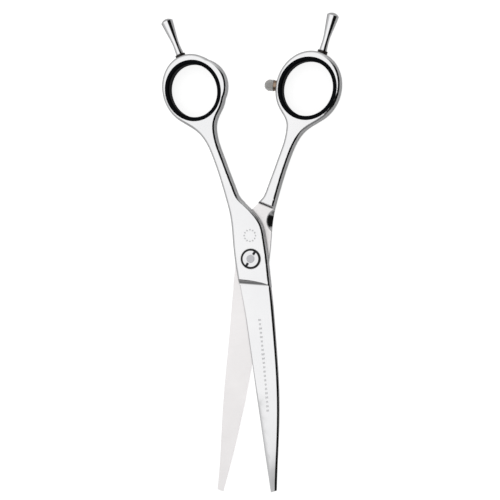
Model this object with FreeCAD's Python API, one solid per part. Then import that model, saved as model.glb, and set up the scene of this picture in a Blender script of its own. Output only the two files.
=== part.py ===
import FreeCAD, Part
import math
import os

# Hair cutting shears lying flat, screw side up.
# The origin is on the pivot axis at the underside of the rear half, +Z is the pivot axis,
# +Y runs to the finger rings and the blades point along -Y.
# Each half is drawn for the shut shears and then turned to the angle at which the shears lie.

V = FreeCAD.Vector

# ---- Driving sizes, mm and degrees ----

# Both halves
stack_thickness = 6.6       # the two halves together, and the depth of a finger ring
ride_gap = 0.06             # between the flat ride faces
front_turn = 6.3            # of the front half from shut, as the shears lie
rear_turn = 5.4
edge_round = 1.5            # rounding of rings, shanks and pivot plates
handle_reach = 79.35         # pivot to the middle of the front ring
blade_length = 104.4        # pivot to the tips

# Blades, which curve up in step with each other: the ride face is turned about the pivot axis
flat_radius = 20.0          # the ride face is flat out to here
curve_radius = 245.0        # and then rises on this radius
tip_thickness = 1.5         # at the spine
edge_land = 0.15            # thickness left at the cutting edge
hone_width = 0.9            # narrow bevel along the cutting edge, at the tip
hone_at_heel = 0.3          # share of that width at the heel
hone_height = 0.55          # thickness where the narrow bevel ends
spine_facet = 0.8
tip_slant = 0.6             # the spine ends this far short of the cutting edge
heel_y = -12.4              # where the outer bevel starts, on the middle line
heel_slope = -0.18          # the heel step runs down towards the spine
heel_wheel = 2.8            # radius of the wheel that grinds the hollow of the heel
heel_step = 0.08            # least depth of the step, at the spine

# Pivot plate sides at the pivot
plate_outer = 7.6
plate_inner = 7.6

# Shoulder where a shank comes to full thickness beside the other half's plate
shoulder_reach = 24.6
shoulder_angle = 16.5
shoulder_wheel = 3.6        # radius of the wheel that hollows the step above the vertical part
shoulder_flare = 1.2        # how far the hollow leans back at the top of the step
scoop_radius = 7.0          # ground relief in the rear plate, beside the shoulder
scoop_drop = 6.4            # of its middle below the shoulder
scoop_outside = 3.0         # of its middle beyond the plate's outer side
scoop_lift = 3.9            # of its middle above the ride face

# Finger rings: middle across, half width and half length outside, and how far the top tilts out
front_ring_x = -18.45
front_ring_half_width = 14.25
front_ring_half_length = 16.6
front_ring_tilt = 14.0
rear_ring_x = 18.65
rear_ring_half_width = 14.7
rear_ring_half_length = 16.8
rear_ring_tilt = 14.0
rear_ring_lift = -0.25      # its middle is this much further from the pivot
rear_splay = 0.9            # the rear shank's outer side stands this much further out at its ring
rear_inner_splay = 0.4      # and its inner side this much
join_angle = 142.0          # round the ring from its top, where the outer side of the shank meets it
leave_angle = -128.0        # and where the inner side does

# Insert pressed into each ring
ring_side_wall = 1.3
ring_end_wall = 2.45
insert_lift = -0.45         # the insert sits nearer the pivot, so the wall is thick at the top
insert_wall = 1.9
insert_inset = 0.1          # below each face of the ring
insert_round = 0.8
rib_height = 0.3            # snap rib round the insert, in a groove in the ring
rib_width = 1.0
press_gap = 0.02            # between pieces pressed together

# Stop pad on the front ring, and the bumper on the rear ring that meets it
pad_radius = 13.0
pad_rise = 1.5
pad_lift = 1.15             # above the ring's middle
bumper_radius = 2.65
bumper_height = 4.3
bumper_crown = 2.3          # height of its rounded part
bumper_drop = 0.2           # below the rear ring's middle
seat_radius = 2.4
seat_height = 1.7
seat_stem_radius = 1.1
seat_stem_gap = 0.15        # between the stem and the insert's rib
spigot_radius = 1.1
spigot_height = 1.1
spot_depth = 0.35           # flat cut in a ring under a seat or washer
spot_margin = 0.3           # of the flat beyond the piece that sits on it

# Finger rests
rest_length = 17.6
rest_dome = 1.3             # height of the domed end
rest_base_radius = 1.7
rest_waist_radius = 1.5
rest_tip_radius = 2.75
rest_stud_radius = 1.0
rest_stud_reach = 1.9       # of the stud into the ring
rest_washer_radius = 2.3
front_washer_height = 1.3
rear_washer_height = 1.4
front_rest_bearing = 2.0    # of the place on the ring, from its top, towards the outside
front_rest_lean = 16.0      # of the rod, towards the outside
rear_rest_bearing = 2.5
rear_rest_lean = 11.0

# Pivot hardware
stud_radius = 2.5
stud_head_radius = 4.5
stud_head_height = 1.1
thread_radius = 1.8
thread_dome = 0.22
turn_gap = 0.04             # radial, where pieces turn
loose_gap = 0.35            # radial, where washers lie loose
hair = 0.01                 # between stacked faces
glide_radius = 6.5
glide_thickness = 0.3
bushing_radius = 3.3
well_radius = 4.6           # counterbore in the front plate
well_floor = 1.6            # of plate left under the counterbore
spring_thickness = 0.3
spring_rise = 0.22
cup_radius = 4.53
cup_wall = 0.72
cup_floor = 0.3
cup_above_plate = 0.35
nut_thickness = 1.25
nut_round = 0.25
slot_width = 1.15
slot_depth = 0.6
slot_hub = 0.35             # wall left round the stud between the two slots
slot_bearing = 32.0         # of the slot, clockwise from +Y
lock_radius = 2.6
lock_thickness = 0.45

# ---- Worked out from them ----

mid_height = stack_thickness / 2
overrun = 1.5               # of a cutting tool past the face it starts from
far = 160.0                 # larger than the shears, for tools that cut everything on one side

# Each ring as drawn on the left: x, y, half width, half length, tilt
FRONT_RING = (front_ring_x, handle_reach, front_ring_half_width, front_ring_half_length,
              front_ring_tilt)
REAR_RING = (-rear_ring_x, handle_reach + rear_ring_lift, rear_ring_half_width,
             rear_ring_half_length, rear_ring_tilt)

# Sides of a shank from the pivot to the ring: share of handle_reach, then x
OUTER_SIDE = [(-0.20, -6.8), (-0.09, -7.25), (0.0, -plate_outer), (0.10, -7.6), (0.19, -7.4),
              (0.27, -7.65), (0.36, -8.7), (0.50, -10.8), (0.60, -12.7), (0.69, -15.1), (0.75, -18.1)]
INNER_SIDE = [(0.79, -9.9), (0.745, -10.2), (0.69, -9.8), (0.60, -8.1), (0.50, -6.05),
              (0.41, -4.1), (0.36, -2.8), (0.31, 0.4), (0.27, 2.95), (0.19, 6.4),
              (0.10, 7.3), (0.0, plate_inner), (-0.10, 7.6), (-0.20, 7.65)]

# Blade stations: share of blade_length, cutting edge x, spine x, share of the spine's taper
BLADE_STATIONS = [(0.07, -6.85, 7.25, 0.0), (0.19, -6.2, 7.5, 0.08), (0.36, -5.3, 7.2, 0.25),
                  (0.55, -4.2, 6.75, 0.45), (0.72, -2.8, 5.6, 0.65), (0.87, -1.35, 4.05, 0.83),
                  (1.0, 0.2, 3.0, 1.0)]


def ride_height(radius):
    """Height of the surface between the halves at a distance from the pivot axis."""
    beyond = max(radius - flat_radius, 0.0)
    return mid_height + curve_radius - math.sqrt(curve_radius ** 2 - beyond ** 2)


def heel_line(x):
    return heel_y + heel_slope * x


def cylinder(radius, low, high, x=0.0, y=0.0):
    return Part.makeCylinder(radius, high - low, V(x, y, low))


def tube(outer, inner, low, high):
    return cylinder(outer, low, high).cut(cylinder(inner, low - 1, high + 1))


def turned(points, base=V(0, 0, 0), axis=V(0, 0, 1)):
    """Solid turned from a closed outline of (radius, height) points, stood on base along axis."""
    wire = Part.makePolygon([V(r, 0, z) for r, z in points] + [V(points[0][0], 0, points[0][1])])
    return stood(Part.Face(wire).revolve(V(0, 0, 0), V(0, 0, 1), 360), base, axis)


def stood(shape, base, axis):
    placed = shape.copy()
    placed.Placement = FreeCAD.Placement(base, FreeCAD.Rotation(V(0, 0, 1), axis))
    return placed


def spline(points, first=None, last=None):
    curve = Part.BSplineCurve()
    if first is None:
        curve.interpolate(points)
    else:
        curve.interpolate(Points=points, InitialTangent=first, FinalTangent=last, Scale=False)
    return curve.toShape()


def ring_ways(ring):
    """Middle of a ring, and the ways across and along its tilted oval."""
    tilt = math.radians(ring[4])
    across = V(math.cos(tilt), math.sin(tilt), 0)
    return V(ring[0], ring[1], 0), across, V(-across.y, across.x, 0)


def on_ring(ring, angle):
    """Point on a ring's outline, by the angle from its top towards the outside."""
    middle, across, along = ring_ways(ring)
    return middle - across * (ring[2] * math.sin(angle)) + along * (ring[3] * math.cos(angle))


def along_ring(ring, angle):
    """Direction of a ring's outline at that angle, running back towards its top."""
    _, across, along = ring_ways(ring)
    way = across * (ring[2] * math.cos(angle)) + along * (ring[3] * math.sin(angle))
    return way.normalize()


def oval(ring, wall, lift=0.0):
    """Oval inside a ring's outline by a wall at the sides and one at the ends."""
    middle, across, along = ring_ways(ring)
    middle = middle + along * lift
    return Part.Ellipse(middle + along * (ring[3] - wall[1]), middle - across * (ring[2] - wall[0]), middle)


def insert_oval(ring, inwards, low, high):
    """Solid with the outline of a ring's pocket, smaller all round by inwards."""
    wall = (ring_side_wall + inwards, ring_end_wall + inwards)
    face = Part.Face(Part.Wire(oval(ring, wall, insert_lift).toShape()))
    face.translate(V(0, 0, low))
    return face.extrude(V(0, 0, high - low))


def handle_body(ring, splay, inner_splay):
    """Ring, shank and pivot plate at full thickness, with rounded edges."""
    leave = math.radians(leave_angle - ring[4])
    join = math.radians(join_angle - ring[4])

    def side_point(share, x, shift):
        return V(x - shift * max(share, 0.0), share * handle_reach, 0)

    outer = [side_point(share, x, splay) for share, x in OUTER_SIDE] + [on_ring(ring, join)]
    inner = [on_ring(ring, leave)] + [side_point(share, x, inner_splay) for share, x in INNER_SIDE]
    start = outer[0]
    end = inner[-1]
    low = V((start.x + end.x) / 2, start.y - (end.x - start.x) / 2, 0)
    sides = [spline(outer, V(0, 1, 0), along_ring(ring, join)),
             Part.ArcOfEllipse(oval(ring, (0.0, 0.0)), leave, join).toShape(),
             spline(inner, along_ring(ring, leave), V(0, -1, 0)),
             Part.Arc(end, low, start).toShape()]
    body = Part.Face(Part.Wire(Part.__sortEdges__(sides))).extrude(V(0, 0, stack_thickness))
    return body.makeFillet(edge_round, level_edges(body))


def level_edges(body):
    return [e for e in body.Edges if e.BoundBox.ZLength < hair]


def below_ride(offset):
    """Everything under the ride surface, moved up by offset."""
    steps = 8
    rim = 1.1 * blade_length
    radii = [flat_radius + (rim - flat_radius) * i / steps for i in range(steps + 1)]
    rise = spline([V(r, 0, ride_height(r) + offset) for r in radii], V(1, 0, 0), slope_at(rim))
    flat = mid_height + offset
    corners = [V(rim, 0, ride_height(rim) + offset), V(rim, 0, -far), V(0, 0, -far),
               V(0, 0, flat), V(flat_radius, 0, flat)]
    wire = Part.Wire(Part.makePolygon(corners).Edges + [rise])
    return Part.Face(wire).revolve(V(0, 0, 0), V(0, 0, 1), 360)


def slope_at(radius):
    """Direction of the ride surface, outwards, at a distance from the pivot axis."""
    sine = (radius - flat_radius) / curve_radius
    return V(math.sqrt(1 - sine ** 2), 0, sine)


def pivot_side():
    """Block on the pivot's side of the shoulder of a half."""
    corner = V(-far, shoulder_reach - 2 * far, -far)
    block = Part.makeBox(2 * far, 2 * far, 2 * far, corner)
    block.rotate(V(0, 0, 0), V(0, 0, 1), shoulder_angle)
    return block


def shoulder_hollow(side):
    """Wheel that flares the step of the shoulder away from the other half's plate."""
    middle_z = mid_height + side * (ride_gap / 2 - shoulder_wheel)
    wheel = Part.makeCylinder(shoulder_wheel, 2 * far, V(-far, 0, 0), V(1, 0, 0))
    wheel.translate(V(0, shoulder_reach + shoulder_flare - shoulder_wheel, middle_z))
    wheel.rotate(V(0, 0, 0), V(0, 0, 1), shoulder_angle)
    return wheel


def below_heel():
    """Block on the blade's side of the heel line."""
    corners = [V(-far, heel_line(-far), -far), V(far, heel_line(far), -far),
               V(far, -2 * far, -far), V(-far, -2 * far, -far)]
    return Part.Face(Part.makePolygon(corners + corners[:1])).extrude(V(0, 0, 2 * far))


def outer_cut(side):
    """Tool that grinds the outer face of a blade: side is 1 for the front half, -1 for the rear."""
    sections = []
    overhang = 3.0
    full = mid_height - ride_gap / 2 - heel_step
    past_tip = (1.03,) + BLADE_STATIONS[-1][1:]
    for share, edge_x, spine_x, taper in BLADE_STATIONS + [past_tip]:
        y = -share * blade_length
        hone = hone_width * (hone_at_heel + (1 - hone_at_heel) * taper)
        thick = full - (full - tip_thickness) * taper
        at_edge = ride_height(math.hypot(edge_x, y))
        at_spine = ride_height(math.hypot(spine_x, y))
        hone_slope = (hone_height - edge_land) / hone
        profile = [(edge_x - overhang, at_edge + side * (edge_land - hone_slope * overhang)),
                   (edge_x + hone, at_edge + side * hone_height),
                   (spine_x - spine_facet, at_spine + side * thick),
                   (spine_x + overhang, at_spine + side * (thick - spine_facet - overhang)),
                   (spine_x + overhang, at_spine + side * far),
                   (edge_x - overhang, at_edge + side * far)]
        points = [V(x, y, z) for x, z in profile]
        sections.append(Part.makePolygon(points + points[:1]))
    return Part.makeLoft(sections, True, False)


def blade_body(side):
    """Blade from the heel to the tip, with its ground outer face and uncut ride face."""
    edge = [V(x, -share * blade_length, 0) for share, x, _, _ in BLADE_STATIONS]
    spine = [V(x, -share * blade_length, 0) for share, _, x, _ in BLADE_STATIONS]
    spine[-1].y += tip_slant
    outline = [spline(edge), Part.makeLine(edge[-1], spine[-1]),
               spline(spine), Part.makeLine(spine[0], edge[0])]
    blank = Part.Face(Part.Wire(Part.__sortEdges__(outline))).extrude(V(0, 0, far))
    blank.translate(V(0, 0, -far / 3))
    return blank.common(below_heel()).cut(outer_cut(side))


def heel_hollow(side):
    """Wheel that hollows the heel, laid along the heel line on the bevel."""
    _, edge_x, spine_x, _ = BLADE_STATIONS[0]
    low = V(edge_x, heel_line(edge_x), mid_height + side * hone_height)
    high = V(spine_x, heel_line(spine_x), mid_height + side * (mid_height - ride_gap / 2 - heel_step))
    along = (high - low).normalize()
    outwards = along.cross(V(0, side, 0)).normalize()
    middle = low + outwards * heel_wheel
    overhang = 2 * plate_outer
    return Part.makeCylinder(heel_wheel, 2 * overhang, middle - along * (overhang / 2), along)


def half_blank(side, ring, splay, inner_splay):
    """One half in the shut position, drawn with its ring on the left, without its bores."""
    handle = handle_body(ring, splay, inner_splay).cut(below_heel())
    handle = handle.cut(shoulder_hollow(side))
    whole = handle.fuse(blade_body(side)).cut(heel_hollow(side))
    under = below_ride(side * ride_gap / 2)
    zone = pivot_side()
    waste = zone.common(under) if side > 0 else zone.cut(under)
    return whole.cut(waste)


def turned_half(shape, side):
    """From the shut position to the angle at which the shears lie; the rear half is mirrored first."""
    placed = shape if side > 0 else shape.mirror(V(0, 0, 0), V(1, 0, 0))
    placed.rotate(V(0, 0, 0), V(0, 0, 1), front_turn if side > 0 else -rear_turn)
    return placed


def rest_seat(ring, bearing, lean):
    """Point where a finger rest's washer sits, and the way the rod points."""
    out = V(-math.sin(math.radians(lean)), math.cos(math.radians(lean)), 0)
    return on_ring(ring, math.radians(bearing)) + V(0, 0, mid_height) - out * spot_depth, out


def bumper_seat_place():
    """Flat on the side of the rear ring, in the mirrored drawing, and the way the bumper points."""
    x, y, half_width, _, _ = REAR_RING
    return V(x + half_width - spot_depth, y - bumper_drop, mid_height), V(1, 0, 0)


def insert_pocket(ring):
    """Hole in a ring for its insert, with the groove for the snap rib."""
    hole = insert_oval(ring, 0.0, -overrun, stack_thickness + overrun)
    half_rib = rib_width / 2 + press_gap
    groove = insert_oval(ring, -rib_height - press_gap, mid_height - half_rib, mid_height + half_rib)
    return hole.fuse(groove)


def ring_insert(ring):
    low = insert_inset
    high = stack_thickness - insert_inset
    hole = insert_oval(ring, press_gap + insert_wall, -overrun, stack_thickness + overrun)
    body = insert_oval(ring, press_gap, low, high).cut(hole)
    inner_width = 2 * (ring[2] - ring_side_wall) - insert_wall
    rims = [e for e in level_edges(body) if e.BoundBox.XLength < inner_width]
    body = body.makeFillet(insert_round, rims)
    rib = insert_oval(ring, press_gap - rib_height, mid_height - rib_width / 2, mid_height + rib_width / 2)
    core = insert_oval(ring, press_gap + insert_wall / 2, low, high)
    return body.fuse(rib.cut(core)).removeSplitter()


def stop_pad(ring):
    """Round swelling on the inner side of the front ring, where the bumper meets it."""
    middle_x = ring[0] + ring[2] + pad_rise - pad_radius
    pad = cylinder(pad_radius, 0, stack_thickness, middle_x, ring[1] + pad_lift)
    return pad.makeFillet(edge_round, level_edges(pad))


def front_half():
    ring = FRONT_RING
    half = half_blank(1, ring, 0.0, 0.0).fuse(stop_pad(ring)).cut(insert_pocket(ring))
    seat, out = rest_seat(ring, front_rest_bearing, front_rest_lean)
    half = half.cut(spot_and_bore(seat, out, rest_washer_radius, rest_stud_radius, ring_end_wall))
    plate_low = mid_height + ride_gap / 2
    well = plate_low + well_floor
    half = half.cut(cylinder(bushing_radius + press_gap, 0, stack_thickness))
    half = half.cut(cylinder(well_radius, well, stack_thickness + overrun))
    return half.cut(cylinder(glide_radius + turn_gap, 0, glide_top() + hair))


def spot_and_bore(seat, out, piece_radius, bore_radius, wall):
    """Flat spot and bore cut into a ring at a seat, through its wall."""
    spot = Part.makeCylinder(piece_radius + spot_margin, 2 * overrun, seat, out)
    depth = wall + overrun
    bore = Part.makeCylinder(bore_radius + press_gap, depth, seat - out * depth, out)
    return spot.fuse(bore)


def glide_top():
    return mid_height + glide_thickness / 2


def rear_half():
    ring = REAR_RING
    half = half_blank(-1, ring, rear_splay, rear_inner_splay).cut(insert_pocket(ring))
    seat, out = rest_seat(ring, rear_rest_bearing, rear_rest_lean)
    half = half.cut(spot_and_bore(seat, out, rest_washer_radius, rest_stud_radius, ring_end_wall))
    seat, out = bumper_seat_place()
    half = half.cut(spot_and_bore(seat, out, seat_radius, seat_stem_radius, ring_side_wall))
    half = half.cut(shoulder_scoop())
    half = half.cut(cylinder(stud_radius + press_gap, -overrun, stack_thickness))
    half = half.cut(cylinder(stud_head_radius + press_gap, -overrun, stud_head_height))
    glide_low = glide_top() - glide_thickness - hair
    return half.cut(cylinder(glide_radius + turn_gap, glide_low, stack_thickness))


def shoulder_scoop():
    """Round-ended relief ground into the outer edge of the rear plate, under the shoulder."""
    middle = V(-plate_outer - scoop_outside, shoulder_reach - scoop_drop, mid_height + scoop_lift)
    return Part.makeSphere(scoop_radius, middle)


def crown(radius, low, high):
    """Arc over the axis, from the rim of a rod to the middle of its domed end."""
    rise = high - low
    sphere = (radius ** 2 + rise ** 2) / (2 * rise)
    half = math.asin(radius / sphere) / 2
    between = V(sphere * math.sin(half), 0, high - sphere + sphere * math.cos(half))
    return Part.Arc(V(radius, 0, low), between, V(0, 0, high)).toShape()


def rest_pieces(ring, bearing, lean, washer_height):
    seat, out = rest_seat(ring, bearing, lean)
    washer = turned([(rest_stud_radius + press_gap, 0), (rest_washer_radius, 0),
                     (rest_washer_radius, washer_height), (rest_stud_radius + press_gap, washer_height)],
                    seat, out)
    shoulder = rest_length - rest_dome
    half_way = (rest_waist_radius + rest_tip_radius) / 2
    curve = spline([V(rest_base_radius, 0, 0), V(rest_waist_radius, 0, 0.27 * shoulder),
                    V(half_way, 0, 0.68 * shoulder), V(rest_tip_radius, 0, shoulder)],
                   V(0, 0, 1), V(0.12, 0, 1).normalize())
    dome = crown(rest_tip_radius, shoulder, rest_length)
    low = -washer_height - rest_stud_reach
    inner = Part.makePolygon([V(0, 0, rest_length), V(0, 0, low), V(rest_stud_radius, 0, low),
                              V(rest_stud_radius, 0, 0), V(rest_base_radius, 0, 0)])
    outline = Part.Wire(Part.__sortEdges__([curve, dome] + inner.Edges))
    rod = Part.Face(outline).revolve(V(0, 0, 0), V(0, 0, 1), 360)
    return washer, stood(rod, seat + out * washer_height, out)


def bumper_pieces():
    seat, out = bumper_seat_place()
    step = seat_height
    socket = spigot_height + press_gap
    stem = ring_side_wall - spot_depth - rib_height - seat_stem_gap
    metal = turned([(0, -stem), (seat_stem_radius, -stem), (seat_stem_radius, 0),
                    (seat_radius, 0), (seat_radius, step), (spigot_radius, step),
                    (spigot_radius, step + spigot_height), (0, step + spigot_height)], seat, out)
    side = bumper_height - bumper_crown
    top = bumper_height
    wall = Part.makePolygon([V(0, 0, top), V(0, 0, socket), V(spigot_radius + press_gap, 0, socket),
                             V(spigot_radius + press_gap, 0, 0), V(bumper_radius, 0, 0),
                             V(bumper_radius, 0, side)])
    dome = Part.Face(Part.Wire(Part.__sortEdges__(wall.Edges + [crown(bumper_radius, side, top)])))
    dome = dome.revolve(V(0, 0, 0), V(0, 0, 1), 360)
    return metal, stood(dome, seat + out * step, out)


def pivot_levels():
    """Heights of the pivot hardware, from the well's floor up."""
    well = mid_height + ride_gap / 2 + well_floor
    spring_top = well + spring_thickness + spring_rise
    cup_low = spring_top + hair
    nut_low = cup_low + cup_floor + hair
    return well, spring_top, cup_low, nut_low


def pivot_stud():
    well, _, _, nut_low = pivot_levels()
    top = nut_low + nut_thickness
    shape = cylinder(stud_head_radius, 0, stud_head_height).fuse(cylinder(stud_radius, 0, well))
    shape = shape.fuse(cylinder(thread_radius, 0, top))
    dome_radius = (thread_radius ** 2 + thread_dome ** 2) / (2 * thread_dome)
    dome = Part.makeSphere(dome_radius, V(0, 0, top + thread_dome - dome_radius))
    return shape.fuse(dome.common(cylinder(thread_radius, nut_low, top + overrun))).removeSplitter()


def tension_nut():
    nut_low = pivot_levels()[3]
    top = nut_low + nut_thickness
    radius = cup_radius - cup_wall - turn_gap
    disc = cylinder(radius, nut_low, top)
    disc = disc.makeFillet(nut_round, [e for e in disc.Edges if e.BoundBox.ZMin > top - hair])
    disc = disc.cut(cylinder(thread_radius + turn_gap, nut_low - overrun, top + overrun))
    disc = disc.cut(cylinder(lock_radius + press_gap, nut_low - overrun, nut_low + lock_thickness + press_gap))
    slot = Part.makeBox(slot_width, 4 * radius, 2 * slot_depth, V(-slot_width / 2, -2 * radius, top - slot_depth))
    slot.rotate(V(0, 0, 0), V(0, 0, 1), -slot_bearing)
    keep = cylinder(thread_radius + turn_gap + slot_hub, top - 2 * slot_depth, top + overrun)
    return disc.cut(slot.cut(keep))


def small_pivot_pieces():
    well, spring_top, cup_low, nut_low = pivot_levels()
    inside = stud_radius + turn_gap
    spring_inside = inside + loose_gap
    spring_outside = well_radius - loose_gap
    spring = turned([(spring_inside, spring_top - spring_thickness), (spring_outside, well),
                     (spring_outside, well + spring_thickness), (spring_inside, spring_top)])
    rim_inside = cup_radius - cup_wall
    cup_inside = thread_radius + loose_gap
    cup_top = stack_thickness + cup_above_plate
    cup = turned([(cup_inside, cup_low), (cup_radius, cup_low), (cup_radius, cup_top),
                  (rim_inside, cup_top), (rim_inside, cup_low + cup_floor),
                  (cup_inside, cup_low + cup_floor)])
    glide = tube(glide_radius, inside, glide_top() - glide_thickness, glide_top())
    bushing = tube(bushing_radius, inside, glide_top() + hair, well)
    lock = tube(lock_radius, thread_radius + turn_gap, nut_low, nut_low + lock_thickness)
    return spring, cup, glide, bushing, lock


def all_nodes():
    front_washer, front_rest = rest_pieces(FRONT_RING, front_rest_bearing, front_rest_lean,
                                           front_washer_height)
    rear_washer, rear_rest = rest_pieces(REAR_RING, rear_rest_bearing, rear_rest_lean,
                                         rear_washer_height)
    seat, dome = bumper_pieces()
    spring, cup, glide, bushing, lock = small_pivot_pieces()
    return {
        "front_blade_half": turned_half(front_half(), 1),
        "front_ring_insert": turned_half(ring_insert(FRONT_RING), 1),
        "front_rest_washer": turned_half(front_washer, 1),
        "front_finger_rest": turned_half(front_rest, 1),
        "rear_blade_half": turned_half(rear_half(), -1),
        "rear_ring_insert": turned_half(ring_insert(REAR_RING), -1),
        "rear_rest_washer": turned_half(rear_washer, -1),
        "rear_finger_rest": turned_half(rear_rest, -1),
        "bumper_seat": turned_half(seat, -1),
        "bumper_dome": turned_half(dome, -1),
        "pivot_stud": pivot_stud(),
        "pivot_bushing": bushing,
        "glide_washer": glide,
        "spring_washer": spring,
        "nut_cup_washer": cup,
        "tension_nut": tension_nut(),
        "nut_lock_ring": lock,
    }


os.makedirs("parts", exist_ok=True)
for name, shape in all_nodes().items():
    shape.exportStep("parts/" + name + ".step")
    print(name, len(shape.Solids), round(shape.Volume, 2))
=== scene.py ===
import math

import bmesh
import bpy
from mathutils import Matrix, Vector


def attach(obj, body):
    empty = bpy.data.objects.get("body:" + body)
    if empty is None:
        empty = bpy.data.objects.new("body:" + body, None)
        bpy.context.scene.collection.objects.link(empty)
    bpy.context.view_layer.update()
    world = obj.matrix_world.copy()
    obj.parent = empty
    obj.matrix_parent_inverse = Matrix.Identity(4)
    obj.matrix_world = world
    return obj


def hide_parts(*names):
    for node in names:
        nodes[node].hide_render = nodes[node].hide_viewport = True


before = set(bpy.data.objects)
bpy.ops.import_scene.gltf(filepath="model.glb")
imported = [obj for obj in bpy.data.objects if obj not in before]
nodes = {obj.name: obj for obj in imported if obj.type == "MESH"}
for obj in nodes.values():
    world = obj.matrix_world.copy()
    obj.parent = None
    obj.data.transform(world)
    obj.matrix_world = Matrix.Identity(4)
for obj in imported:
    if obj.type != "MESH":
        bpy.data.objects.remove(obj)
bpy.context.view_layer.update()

print("frame loaded:", len(nodes), "nodes")


# Small helpers for node trees

def addNode(tree, kind, **settings):
    node = tree.nodes.new(kind)
    for key, value in settings.items():
        setattr(node, key, value)
    return node


# Links a socket into another one, or writes a plain value there
def feed(tree, socket, value):
    if isinstance(value, bpy.types.NodeSocket):
        tree.links.new(value, socket)
    else:
        socket.default_value = value


def mathNode(tree, operation, *values):
    node = addNode(tree, "ShaderNodeMath", operation=operation)
    for socket, value in zip(node.inputs, values):
        feed(tree, socket, value)
    return node.outputs["Value"]


def noiseNode(tree, vector, scale, detail, roughness):
    noise = addNode(tree, "ShaderNodeTexNoise")
    noise.inputs["Scale"].default_value = scale
    noise.inputs["Detail"].default_value = detail
    noise.inputs["Roughness"].default_value = roughness
    tree.links.new(vector, noise.inputs["Vector"])
    return noise.outputs["Fac"]


def rangeNode(tree, value, fromMin, fromMax, toMin=0.0, toMax=1.0):
    node = addNode(tree, "ShaderNodeMapRange")
    limits = {"From Min": fromMin, "From Max": fromMax, "To Min": toMin, "To Max": toMax}
    for name, number in limits.items():
        node.inputs[name].default_value = number
    tree.links.new(value, node.inputs["Value"])
    return node.outputs["Result"]


def mixColour(tree, factor, first, second):
    node = addNode(tree, "ShaderNodeMix", data_type="RGBA")
    for name, colour in (("A", first), ("B", second)):
        feed(tree, node.inputs[name], (*colour, 1) if isinstance(colour, tuple) else colour)
    tree.links.new(factor, node.inputs["Factor"])
    return node.outputs["Result"]


def objectCoords(tree):
    return addNode(tree, "ShaderNodeTexCoord").outputs["Object"]


def newMaterial(name):
    material = bpy.data.materials.new(name)
    material.use_nodes = True
    tree = material.node_tree
    return material, tree, tree.nodes["Principled BSDF"]


socketKinds = {"number": "NodeSocketFloat", "vector": "NodeSocketVector", "colour": "NodeSocketColor"}


# A shader group with named sockets, each given as its name and kind
def newGroup(name, inputs, outputs):
    group = bpy.data.node_groups.new(name, "ShaderNodeTree")
    for direction, sockets in (("INPUT", inputs), ("OUTPUT", outputs)):
        for label, kind in sockets.items():
            group.interface.new_socket(label, in_out=direction, socket_type=socketKinds[kind])
    return group, addNode(group, "NodeGroupInput").outputs, addNode(group, "NodeGroupOutput").inputs


def placeGroup(tree, group, values):
    node = addNode(tree, "ShaderNodeGroup", node_tree=group)
    for key, value in values.items():
        node.inputs[key].default_value = (*value, 1) if isinstance(value, tuple) else value
    return node


# Fine parallel polishing lines plus faint wipe marks, shared by every metal
polishValues = {"stretch": (9000, 60, 9000), "lineScale": 1.0, "lineDetail": 2.0, "lineContrast": 0.6,
                "wipeScale": 70.0, "wipeDetail": 3.0, "wipeContrast": 0.6, "wipeFrom": 0.45,
                "wipeTo": 0.72, "deepest": 0.00002}


def makePolishGroup():
    look = polishValues
    inputs = {"Line Scale": "number", "Line Angle": "number", "Base Roughness": "number",
              "Line Roughness": "number", "Wipe Roughness": "number", "Line Depth": "number",
              "Base Normal": "vector"}
    outputs = {"Roughness": "number", "Normal": "vector"}
    group, inside, outside = newGroup("polishMarks", inputs, outputs)
    coords = objectCoords(group)
    turn = addNode(group, "ShaderNodeVectorRotate", rotation_type="Z_AXIS")
    group.links.new(coords, turn.inputs["Vector"])
    group.links.new(inside["Line Angle"], turn.inputs["Angle"])
    stretch = addNode(group, "ShaderNodeMapping")
    stretch.inputs["Scale"].default_value = look["stretch"]
    group.links.new(turn.outputs["Vector"], stretch.inputs["Vector"])
    scaled = addNode(group, "ShaderNodeVectorMath", operation="SCALE")
    group.links.new(stretch.outputs["Vector"], scaled.inputs[0])
    group.links.new(inside["Line Scale"], scaled.inputs["Scale"])
    lines = noiseNode(group, scaled.outputs["Vector"], look["lineScale"], look["lineDetail"],
                      look["lineContrast"])
    wipes = noiseNode(group, coords, look["wipeScale"], look["wipeDetail"], look["wipeContrast"])
    wipeMask = rangeNode(group, wipes, look["wipeFrom"], look["wipeTo"])
    rough = mathNode(group, "MULTIPLY_ADD", lines, inside["Line Roughness"], inside["Base Roughness"])
    rough = mathNode(group, "MULTIPLY_ADD", wipeMask, inside["Wipe Roughness"], rough)
    bump = addNode(group, "ShaderNodeBump")
    bump.inputs["Distance"].default_value = look["deepest"]
    group.links.new(inside["Line Depth"], bump.inputs["Strength"])
    group.links.new(lines, bump.inputs["Height"])
    group.links.new(inside["Base Normal"], bump.inputs["Normal"])
    group.links.new(rough, outside["Roughness"])
    group.links.new(bump.outputs["Normal"], outside["Normal"])
    return group


# Soft patches of a darker tone, and painted shade darkening the colour in corners, shared by every metal
toneValues = {"patchScale": 45.0, "patchDetail": 4.0, "patchContrast": 0.55, "patchFrom": 0.3,
              "patchTo": 0.7, "paintedShadeColour": (0.03, 0.03, 0.035), "creviceSamples": 8,
              "creviceFrom": 0.25, "creviceTo": 0.9}


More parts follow.
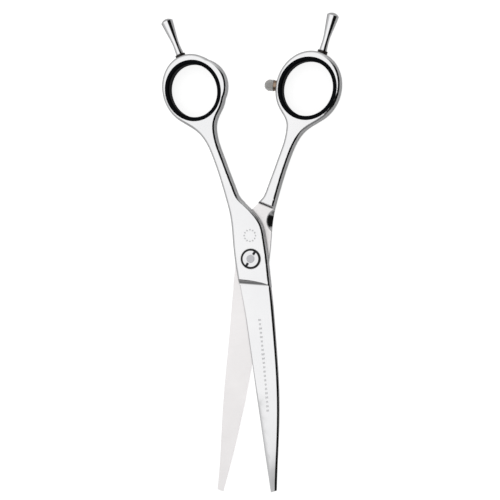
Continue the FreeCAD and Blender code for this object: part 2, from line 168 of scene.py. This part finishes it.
def makeToneGroup():
    look = toneValues
    inputs = {"Colour": "colour", "Darker Colour": "colour", "Painted Shade Reach": "number"}
    group, inside, outside = newGroup("metalTone", inputs, {"Colour": "colour"})
    patches = noiseNode(group, objectCoords(group), look["patchScale"], look["patchDetail"],
                        look["patchContrast"])
    patchMask = rangeNode(group, patches, look["patchFrom"], look["patchTo"])
    tone = mixColour(group, patchMask, inside["Colour"], inside["Darker Colour"])
    # Painted shade: the colour turns near black where nearby surfaces close in, standing for shade in
    # corners
    crevice = addNode(group, "ShaderNodeAmbientOcclusion", samples=look["creviceSamples"])
    group.links.new(inside["Painted Shade Reach"], crevice.inputs["Distance"])
    unshadedMask = rangeNode(group, crevice.outputs["AO"], look["creviceFrom"], look["creviceTo"])
    group.links.new(mixColour(group, unshadedMask, look["paintedShadeColour"], tone), outside["Colour"])
    return group


polishMarks = makePolishGroup()
metalTone = makeToneGroup()

# Marks of each metal finish
steelMarks = {"Line Scale": 1.0, "Line Angle": 0.0, "Base Roughness": 0.05, "Line Roughness": 0.05,
              "Wipe Roughness": 0.03, "Line Depth": 0.05}
satinMarks = {"Line Scale": 0.6, "Line Angle": 1.35, "Base Roughness": 0.26, "Line Roughness": 0.16,
              "Wipe Roughness": 0.03, "Line Depth": 0.3}
trimMarks = {"Line Scale": 1.0, "Line Angle": 0.0, "Base Roughness": 0.04, "Line Roughness": 0.04,
             "Wipe Roughness": 0.03, "Line Depth": 0.03}
etchedMarks = {"Line Scale": 1.0, "Line Angle": 0.0, "Base Roughness": 0.5, "Line Roughness": 0.05,
               "Wipe Roughness": 0.04, "Line Depth": 0.0}
# Reaches of the painted shade: how far out of a corner each metal's colour is darkened to stand for shade
cornerShadeReach = 0.0008        # how far out of a corner most metals darken
studShadeReach = 0.002
nutShadeReach = 0.003


def metalMaterial(name, colour, darker, marks, shadeReach=cornerShadeReach):
    material, tree, shader = newMaterial(name)
    finish = placeGroup(tree, polishMarks, marks)
    geometry = addNode(tree, "ShaderNodeNewGeometry")
    tree.links.new(geometry.outputs["Normal"], finish.inputs["Base Normal"])
    tone = placeGroup(tree, metalTone, {"Colour": colour, "Darker Colour": darker, "Painted Shade Reach": shadeReach})
    tree.links.new(tone.outputs["Colour"], shader.inputs["Base Color"])
    tree.links.new(finish.outputs["Roughness"], shader.inputs["Roughness"])
    tree.links.new(finish.outputs["Normal"], shader.inputs["Normal"])
    shader.inputs["Metallic"].default_value = 1.0
    return material


polishedSteel = metalMaterial("polishedSteel", (0.83, 0.83, 0.835), (0.79, 0.79, 0.8), steelMarks)
satinSteel = metalMaterial("satinSteel", (0.86, 0.84, 0.84), (0.81, 0.79, 0.79), satinMarks)
brightTrim = metalMaterial("brightTrim", (0.84, 0.84, 0.85), (0.8, 0.8, 0.81), trimMarks)
studSteel = metalMaterial("studSteel", (0.5, 0.5, 0.52), (0.38, 0.38, 0.4), trimMarks, studShadeReach)
# near-black metal standing for painted shade in the nut's slots and below its rim
slotShade = metalMaterial("slotShade", (0.05, 0.05, 0.055), (0.02, 0.02, 0.02), satinMarks)
nutSteel = metalMaterial("nutSteel", (0.8, 0.8, 0.81), (0.7, 0.7, 0.71), trimMarks, nutShadeReach)
etchedGrey = metalMaterial("etchedGrey", (0.76, 0.76, 0.77), (0.7, 0.7, 0.71), etchedMarks)
darkBrass = metalMaterial("darkBrass", (0.36, 0.27, 0.2), (0.28, 0.2, 0.15), trimMarks)


# Fine grain and a cloudy tone, shared by every moulded piece
mouldedValues = {"grainScale": 900.0, "grainDetail": 3.0, "grainContrast": 0.6, "grainDepth": 0.00001,
                 "grainStrength": 0.2, "cloudScale": 120.0, "cloudDetail": 2.0, "cloudContrast": 0.5,
                 "toneFrom": 0.35, "toneTo": 0.7, "roughFrom": 0.3, "roughTo": 0.7,
                 "roughSpread": 0.08}


def makeMouldedGroup():
    look = mouldedValues
    inputs = {"Colour": "colour", "Lighter Colour": "colour", "Least Roughness": "number"}
    outputs = {"Colour": "colour", "Roughness": "number", "Normal": "vector"}
    group, inside, outside = newGroup("mouldedGrain", inputs, outputs)
    coords = objectCoords(group)
    grain = noiseNode(group, coords, look["grainScale"], look["grainDetail"], look["grainContrast"])
    cloud = noiseNode(group, coords, look["cloudScale"], look["cloudDetail"], look["cloudContrast"])
    toneMask = rangeNode(group, cloud, look["toneFrom"], look["toneTo"])
    tone = mixColour(group, toneMask, inside["Colour"], inside["Lighter Colour"])
    spread = rangeNode(group, cloud, look["roughFrom"], look["roughTo"], 0.0, look["roughSpread"])
    bump = addNode(group, "ShaderNodeBump")
    bump.inputs["Distance"].default_value = look["grainDepth"]
    bump.inputs["Strength"].default_value = look["grainStrength"]
    group.links.new(grain, bump.inputs["Height"])
    group.links.new(tone, outside["Colour"])
    group.links.new(mathNode(group, "ADD", inside["Least Roughness"], spread), outside["Roughness"])
    group.links.new(bump.outputs["Normal"], outside["Normal"])
    return group


mouldedGrain = makeMouldedGroup()


def plasticMaterial(name, colour, lighter, roughness, shine):
    material, tree, shader = newMaterial(name)
    grain = placeGroup(tree, mouldedGrain, {"Colour": colour, "Lighter Colour": lighter,
                                            "Least Roughness": roughness})
    tree.links.new(grain.outputs["Colour"], shader.inputs["Base Color"])
    tree.links.new(grain.outputs["Roughness"], shader.inputs["Roughness"])
    tree.links.new(grain.outputs["Normal"], shader.inputs["Normal"])
    shader.inputs["Specular IOR Level"].default_value = shine
    return material


insertBlack = plasticMaterial("insertBlack", (0.002, 0.0025, 0.004), (0.004, 0.005, 0.007), 0.4, 0.05)
washerBlack = plasticMaterial("washerBlack", (0.012, 0.007, 0.005), (0.02, 0.012, 0.009), 0.3, 0.4)
nylonBlack = plasticMaterial("nylonBlack", (0.004, 0.004, 0.005), (0.008, 0.008, 0.009), 0.35, 0.3)
nylonWhite = plasticMaterial("nylonWhite", (0.78, 0.78, 0.74), (0.84, 0.84, 0.8), 0.4, 0.5)

bumperValues = {"milky": (0.97, 0.96, 0.94), "duller": (0.88, 0.85, 0.82), "cloudScale": 300.0,
                "cloudDetail": 2.0, "cloudContrast": 0.5, "cloudFrom": 0.3, "cloudTo": 0.7,
                "smoothest": 0.05, "roughest": 0.12, "clearness": 0.12, "bending": 1.43,
                "scatter": 0.3, "scatterReach": (0.002, 0.0018, 0.0015)}


def makeBumperClear():
    look = bumperValues
    material, tree, shader = newMaterial("bumperClear")
    cloud = noiseNode(tree, objectCoords(tree), look["cloudScale"], look["cloudDetail"],
                      look["cloudContrast"])
    tree.links.new(mixColour(tree, cloud, look["milky"], look["duller"]), shader.inputs["Base Color"])
    rough = rangeNode(tree, cloud, look["cloudFrom"], look["cloudTo"], look["smoothest"], look["roughest"])
    tree.links.new(rough, shader.inputs["Roughness"])
    shader.inputs["Transmission Weight"].default_value = look["clearness"]
    shader.inputs["IOR"].default_value = look["bending"]
    shader.inputs["Subsurface Weight"].default_value = look["scatter"]
    shader.inputs["Subsurface Radius"].default_value = look["scatterReach"]
    return material


bumperClear = makeBumperClear()
print("finishes made:", len(bpy.data.materials))

# Copies of the CAD meshes: sizes in metres, the angle in degrees
copyValues = {"mergeWithin": 1e-7, "sharpFrom": 24.0}


# Copy of a CAD mesh with its seams closed, shaded smooth up to its real edges
def cleanMesh(name):
    work = bmesh.new()
    work.from_mesh(nodes[name].data)
    work.transform(nodes[name].matrix_world)
    bmesh.ops.remove_doubles(work, verts=work.verts, dist=copyValues["mergeWithin"])
    mesh = bpy.data.meshes.new(name + "_shape")
    work.to_mesh(mesh)
    work.free()
    if "custom_normal" in mesh.attributes:
        mesh.attributes.remove(mesh.attributes["custom_normal"])
    mesh.materials.clear()
    for polygon in mesh.polygons:
        polygon.use_smooth = True
    mesh.set_sharp_from_angle(angle=math.radians(copyValues["sharpFrom"]))
    return mesh


# The nut, with painted shade: every face below its top, slots included, takes a near-black metal
nutValues = {"brightBand": 0.0003}


def makeNut():
    mesh = cleanMesh("tension_nut")
    mesh.materials.append(nutSteel)
    mesh.materials.append(slotShade)
    top = max(vertex.co.z for vertex in mesh.vertices)
    for polygon in mesh.polygons:
        if polygon.center.z < top - nutValues["brightBand"]:
            # painted shade: faces below the top band take the near-black metal
            polygon.material_index = 1
    piece = bpy.data.objects.new("tension_nut_finished", mesh)
    bpy.context.collection.objects.link(piece)
    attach(piece, "adjuster")
    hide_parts("tension_nut")


makeNut()
print("nut made")

# The halves, satin on their inner faces from the plates to the tips and polished everywhere else.
# The surface between them is flat round the pivot, then rises on one radius.
halfValues = {"middleHeight": 0.0033, "flatRadius": 0.020, "riseRadius": 0.245, "satinWithin": 0.0004,
              "satinFacing": 0.9, "satinBelowY": 0.03}
bodyOf = {"front_blade_half": "front_half", "rear_blade_half": "rear_half"}


def rideHeight(point):
    beyond = max(math.hypot(point.x, point.y) - halfValues["flatRadius"], 0.0)
    rise = halfValues["riseRadius"] - math.sqrt(halfValues["riseRadius"] ** 2 - beyond ** 2)
    return halfValues["middleHeight"] + rise


# side is 1 for the half on top and -1 for the one below
def isSatin(polygon, side):
    if polygon.center.y > halfValues["satinBelowY"]:
        return False
    if abs(polygon.center.z - rideHeight(polygon.center)) >= halfValues["satinWithin"]:
        return False
    return -side * polygon.normal.z > halfValues["satinFacing"]


def makeHalf(name, side):
    mesh = cleanMesh(name)
    mesh.materials.append(polishedSteel)
    mesh.materials.append(satinSteel)
    for polygon in mesh.polygons:
        if isSatin(polygon, side):
            polygon.material_index = 1
    piece = bpy.data.objects.new(name + "_finished", mesh)
    bpy.context.collection.objects.link(piece)
    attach(piece, bodyOf[name])
    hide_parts(name)
    return piece


frontHalf = makeHalf("front_blade_half", 1)
rearHalf = makeHalf("rear_blade_half", -1)
print("halves made")

# Flat marks on the front half: points above it are dropped onto its surface, and each carries a mark
dropValues = {"startHeight": 0.05, "rayLength": 0.1}


def markTree(name, sizes):
    tree = bpy.data.node_groups.new(name, "GeometryNodeTree")
    tree.interface.new_socket("Geometry", in_out="INPUT", socket_type="NodeSocketGeometry")
    tree.interface.new_socket("Target", in_out="INPUT", socket_type="NodeSocketObject")
    for key, value in sizes.items():
        kind = "NodeSocketInt" if isinstance(value, int) else "NodeSocketFloat"
        tree.interface.new_socket(key, in_out="INPUT", socket_type=kind).default_value = value
    tree.interface.new_socket("Geometry", in_out="OUTPUT", socket_type="NodeSocketGeometry")
    return tree, addNode(tree, "NodeGroupInput").outputs, addNode(tree, "NodeGroupOutput").inputs


def layMarks(tree, inside, outside, points, shape, turn):
    link = tree.links.new
    target = addNode(tree, "GeometryNodeObjectInfo", transform_space="RELATIVE")
    link(inside["Target"], target.inputs["Object"])
    drop = addNode(tree, "GeometryNodeRaycast")
    link(target.outputs["Geometry"], drop.inputs["Target Geometry"])
    drop.inputs["Ray Direction"].default_value = (0, 0, -1)
    drop.inputs["Ray Length"].default_value = dropValues["rayLength"]
    keep = addNode(tree, "GeometryNodeStoreNamedAttribute", data_type="FLOAT_VECTOR", domain="POINT")
    keep.inputs["Name"].default_value = "upwards"
    link(points, keep.inputs["Geometry"])
    link(drop.outputs["Hit Normal"], keep.inputs["Value"])
    place = addNode(tree, "GeometryNodeSetPosition")
    link(keep.outputs["Geometry"], place.inputs["Geometry"])
    link(drop.outputs["Hit Position"], place.inputs["Position"])
    upwards = addNode(tree, "GeometryNodeInputNamedAttribute", data_type="FLOAT_VECTOR")
    upwards.inputs["Name"].default_value = "upwards"
    lean = addNode(tree, "FunctionNodeAlignRotationToVector", axis="Z")
    link(turn, lean.inputs["Rotation"])
    link(upwards.outputs["Attribute"], lean.inputs["Vector"])
    copies = addNode(tree, "GeometryNodeInstanceOnPoints")
    link(place.outputs["Geometry"], copies.inputs["Points"])
    link(shape, copies.inputs["Instance"])
    link(lean.outputs["Rotation"], copies.inputs["Rotation"])
    real = addNode(tree, "GeometryNodeRealizeInstances")
    link(copies.outputs["Instances"], real.inputs["Geometry"])
    finish = addNode(tree, "GeometryNodeSetMaterial")
    finish.inputs["Material"].default_value = etchedGrey
    link(real.outputs["Geometry"], finish.inputs["Geometry"])
    link(finish.outputs["Geometry"], outside["Geometry"])
    return copies


def combine(tree, x, y, z):
    node = addNode(tree, "ShaderNodeCombineXYZ")
    for axis, value in (("X", x), ("Y", y), ("Z", z)):
        feed(tree, node.inputs[axis], value)
    return node.outputs["Vector"]


def turnAbout(tree, angle):
    node = addNode(tree, "FunctionNodeEulerToRotation")
    tree.links.new(combine(tree, 0.0, 0.0, angle), node.inputs["Euler"])
    return node.outputs["Rotation"]


# A row of plain dashes down the blade; Vary is the most that a dash is narrowed by
dashRow = {"Count": 22, "Start X": 0.0038, "Start Y": -0.0276, "Step X": 0.00022, "Step Y": -0.00193,
           "Length": 0.0009, "Width": 0.0016, "Depth": 0.00002, "Turn": 0.11, "Vary": 0.45, "Seed": 4}


def makeDashTree():
    tree, inside, outside = markTree("dashRow", dashRow)
    link = tree.links.new
    line = addNode(tree, "GeometryNodeMeshLine", mode="OFFSET")
    link(inside["Count"], line.inputs["Count"])
    start = combine(tree, inside["Start X"], inside["Start Y"], dropValues["startHeight"])
    link(start, line.inputs["Start Location"])
    link(combine(tree, inside["Step X"], inside["Step Y"], 0.0), line.inputs["Offset"])
    dash = addNode(tree, "GeometryNodeMeshCube")
    link(combine(tree, inside["Width"], inside["Length"], inside["Depth"]), dash.inputs["Size"])
    copies = layMarks(tree, inside, outside, line.outputs["Mesh"], dash.outputs["Mesh"],
                      turnAbout(tree, inside["Turn"]))
    share = addNode(tree, "FunctionNodeRandomValue", data_type="FLOAT")
    link(mathNode(tree, "SUBTRACT", 1.0, inside["Vary"]), share.inputs["Min"])
    share.inputs["Max"].default_value = 1.0
    link(inside["Seed"], share.inputs["Seed"])
    link(combine(tree, share.outputs["Value"], 1.0, 1.0), copies.inputs["Scale"])
    return tree


# A ring of plain dots on the plate; Corners is the number of sides of one dot
dotRing = {"Count": 12, "Middle X": -0.0004, "Middle Y": 0.0105, "Radius": 0.0026, "Dot": 0.0004,
           "Depth": 0.00002, "Corners": 20}


def makeDotTree():
    tree, inside, outside = markTree("dotRing", dotRing)
    link = tree.links.new
    ring = addNode(tree, "GeometryNodeMeshCircle")
    link(inside["Count"], ring.inputs["Vertices"])
    link(inside["Radius"], ring.inputs["Radius"])
    move = addNode(tree, "GeometryNodeTransform")
    link(ring.outputs["Mesh"], move.inputs["Geometry"])
    middle = combine(tree, inside["Middle X"], inside["Middle Y"], dropValues["startHeight"])
    link(middle, move.inputs["Translation"])
    dot = addNode(tree, "GeometryNodeMeshCylinder")
    link(inside["Corners"], dot.inputs["Vertices"])
    link(inside["Dot"], dot.inputs["Radius"])
    link(inside["Depth"], dot.inputs["Depth"])
    layMarks(tree, inside, outside, move.outputs["Geometry"], dot.outputs["Mesh"], turnAbout(tree, 0.0))
    return tree


# Runs a marks tree over the front half, and leaves a plain mesh riding with it
def makeMarks(name, tree, values):
    piece = bpy.data.objects.new(name, bpy.data.meshes.new(name))
    bpy.context.collection.objects.link(piece)
    modifier = piece.modifiers.new(name, "NODES")
    modifier.node_group = tree
    for item in tree.interface.items_tree:
        if item.in_out == "INPUT" and item.name == "Target":
            modifier[item.identifier] = frontHalf
        elif item.in_out == "INPUT" and item.name in values:
            modifier[item.identifier] = values[item.name]
    bpy.context.view_layer.update()
    made = piece.evaluated_get(bpy.context.evaluated_depsgraph_get())
    mesh = bpy.data.meshes.new_from_object(made)
    piece.modifiers.clear()
    piece.data = mesh
    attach(piece, "front_half")
    print(name, len(mesh.vertices), "points")


makeMarks("etched_dashes", makeDashTree(), dashRow)
makeMarks("etched_ring", makeDotTree(), dotRing)

# The finish of every CAD node, including those that a finished piece stands for
finishOf = {
    "front_blade_half": polishedSteel, "rear_blade_half": polishedSteel,
    "front_ring_insert": insertBlack, "rear_ring_insert": insertBlack,
    "front_rest_washer": washerBlack, "rear_rest_washer": washerBlack,
    "front_finger_rest": brightTrim, "rear_finger_rest": brightTrim,
    "bumper_seat": darkBrass, "bumper_dome": bumperClear,
    "pivot_stud": studSteel, "tension_nut": nutSteel, "spring_washer": brightTrim,
    "nut_cup_washer": nylonBlack, "pivot_bushing": nylonWhite, "glide_washer": nylonWhite,
    "nut_lock_ring": nylonWhite,
}
for name, material in finishOf.items():
    nodes[name].data.materials.clear()
    nodes[name].data.materials.append(material)
print("pieces painted:", len(finishOf))

# A pale floor that looks darker when a shiny piece mirrors it
floorValues = {"size": 3.0, "drop": 0.00005, "colour": (0.9, 0.9, 0.9), "darker": (0.89, 0.89, 0.89),
               "cloudScale": 3.0, "cloudDetail": 2.0, "cloudContrast": 0.5, "roughness": 0.9,
               "shine": 0.1, "glow": 0.82, "mirroredGlow": 0.12}


def makeFloor():
    look = floorValues
    bpy.ops.mesh.primitive_plane_add(size=look["size"], location=(0, 0, -look["drop"]))
    floor = bpy.context.object
    floor.name = "paleFloor"
    material, tree, shader = newMaterial("paleFloor")
    cloud = noiseNode(tree, objectCoords(tree), look["cloudScale"], look["cloudDetail"],
                      look["cloudContrast"])
    tree.links.new(mixColour(tree, cloud, look["colour"], look["darker"]), shader.inputs["Base Color"])
    shader.inputs["Roughness"].default_value = look["roughness"]
    shader.inputs["Specular IOR Level"].default_value = look["shine"]
    shader.inputs["Emission Color"].default_value = (1, 1, 1, 1)
    path = addNode(tree, "ShaderNodeLightPath")
    glow = rangeNode(tree, path.outputs["Is Glossy Ray"], 0.0, 1.0, look["glow"], look["mirroredGlow"])
    tree.links.new(glow, shader.inputs["Emission Strength"])
    floor.data.materials.append(material)


# The sky. Each side lists a height, from 0 straight down to 1 straight up, with the tone there. The light
# side is a pale wall. The dark side is a black flag: it comes in from darkFrom to darkTo along X, and from
# nearFrom to nearTo along Y, and fades out sideways over flagEnds.
skyValues = {
    "strength": 1.1, "softLight": 0.24, "backdrop": 1.0, "darkFrom": 0.0, "darkTo": 0.3,
    "nearFrom": -0.35, "nearTo": -0.6, "nearShare": 0.72, "flagEnds": (0.55, 0.82),
    "darkSide": [(0.0, 0.85), (0.3, 0.7), (0.4, 0.3), (0.46, 0.006), (0.955, 0.006), (0.98, 0.9),
                 (1.0, 1.0)],
    "lightSide": [(0.0, 0.9), (0.48, 0.85), (0.5, 0.55), (0.62, 0.5), (0.74, 0.6), (0.82, 0.92),
                  (0.9, 1.0), (1.0, 1.0)],
}


def grey(tone):
    return (tone, tone, tone)


def skyRamp(tree, height, bands):
    ramp = addNode(tree, "ShaderNodeValToRGB")
    stops = ramp.color_ramp.elements
    while len(stops) < len(bands):
        stops.new(0.5)
    for stop, (place, tone) in zip(stops, bands):
        stop.position = place
    for stop, (place, tone) in zip(stops, bands):
        stop.color = (*grey(tone), 1)
    tree.links.new(height, ramp.inputs["Fac"])
    return ramp.outputs["Color"]


def makeWorld():
    look = skyValues
    world = bpy.data.worlds.new("studio")
    bpy.context.scene.world = world
    world.use_nodes = True
    tree = world.node_tree
    background = tree.nodes["Background"]
    coords = addNode(tree, "ShaderNodeTexCoord")
    split = addNode(tree, "ShaderNodeSeparateXYZ")
    tree.links.new(coords.outputs["Generated"], split.inputs["Vector"])
    height = rangeNode(tree, split.outputs["Z"], -1.0, 1.0)

    def band(axis, low, high, strength):
        side = rangeNode(tree, split.outputs[axis], low, high, 0.0, strength)
        across = mathNode(tree, "ABSOLUTE", split.outputs["Y" if axis == "X" else "X"])
        return mathNode(tree, "MULTIPLY", side, rangeNode(tree, across, *look["flagEnds"], 1.0, 0.0))

    right = band("X", look["darkFrom"], look["darkTo"], 1.0)
    near = band("Y", look["nearFrom"], look["nearTo"], look["nearShare"])
    towardsDark = mathNode(tree, "MAXIMUM", right, near)
    path = addNode(tree, "ShaderNodeLightPath").outputs
    sky = mixColour(tree, towardsDark, skyRamp(tree, height, look["lightSide"]),
                    skyRamp(tree, height, look["darkSide"]))
    lit = mixColour(tree, path["Is Diffuse Ray"], sky, grey(look["softLight"] / look["strength"]))
    seen = mixColour(tree, path["Is Camera Ray"], lit, grey(look["backdrop"] / look["strength"]))
    tree.links.new(seen, background.inputs["Color"])
    background.inputs["Strength"].default_value = look["strength"]


# The camera leans over by its azimuth, and its picture is as wide as width at the target
cameraValues = {"width": 0.2255, "lens": 150.0, "sensor": 36.0, "azimuth": 12.0,
                "target": (-0.0002, 0.004, 0.0072), "farthest": 20.0}


def makeCamera():
    look = cameraValues
    data = bpy.data.cameras.new("camera")
    data.lens = look["lens"]
    data.sensor_width = look["sensor"]
    data.clip_end = look["farthest"]
    camera = bpy.data.objects.new("camera", data)
    bpy.context.collection.objects.link(camera)
    angle = math.radians(look["azimuth"])
    away = Vector((math.sin(angle), 0, math.cos(angle)))
    distance = look["width"] * look["lens"] / look["sensor"]
    camera.location = Vector(look["target"]) + away * distance
    camera.rotation_euler = (0, angle, 0)
    bpy.context.scene.camera = camera


makeFloor()
makeWorld()
makeCamera()
bpy.context.scene.view_settings.view_transform = "Standard"
print("studio made")
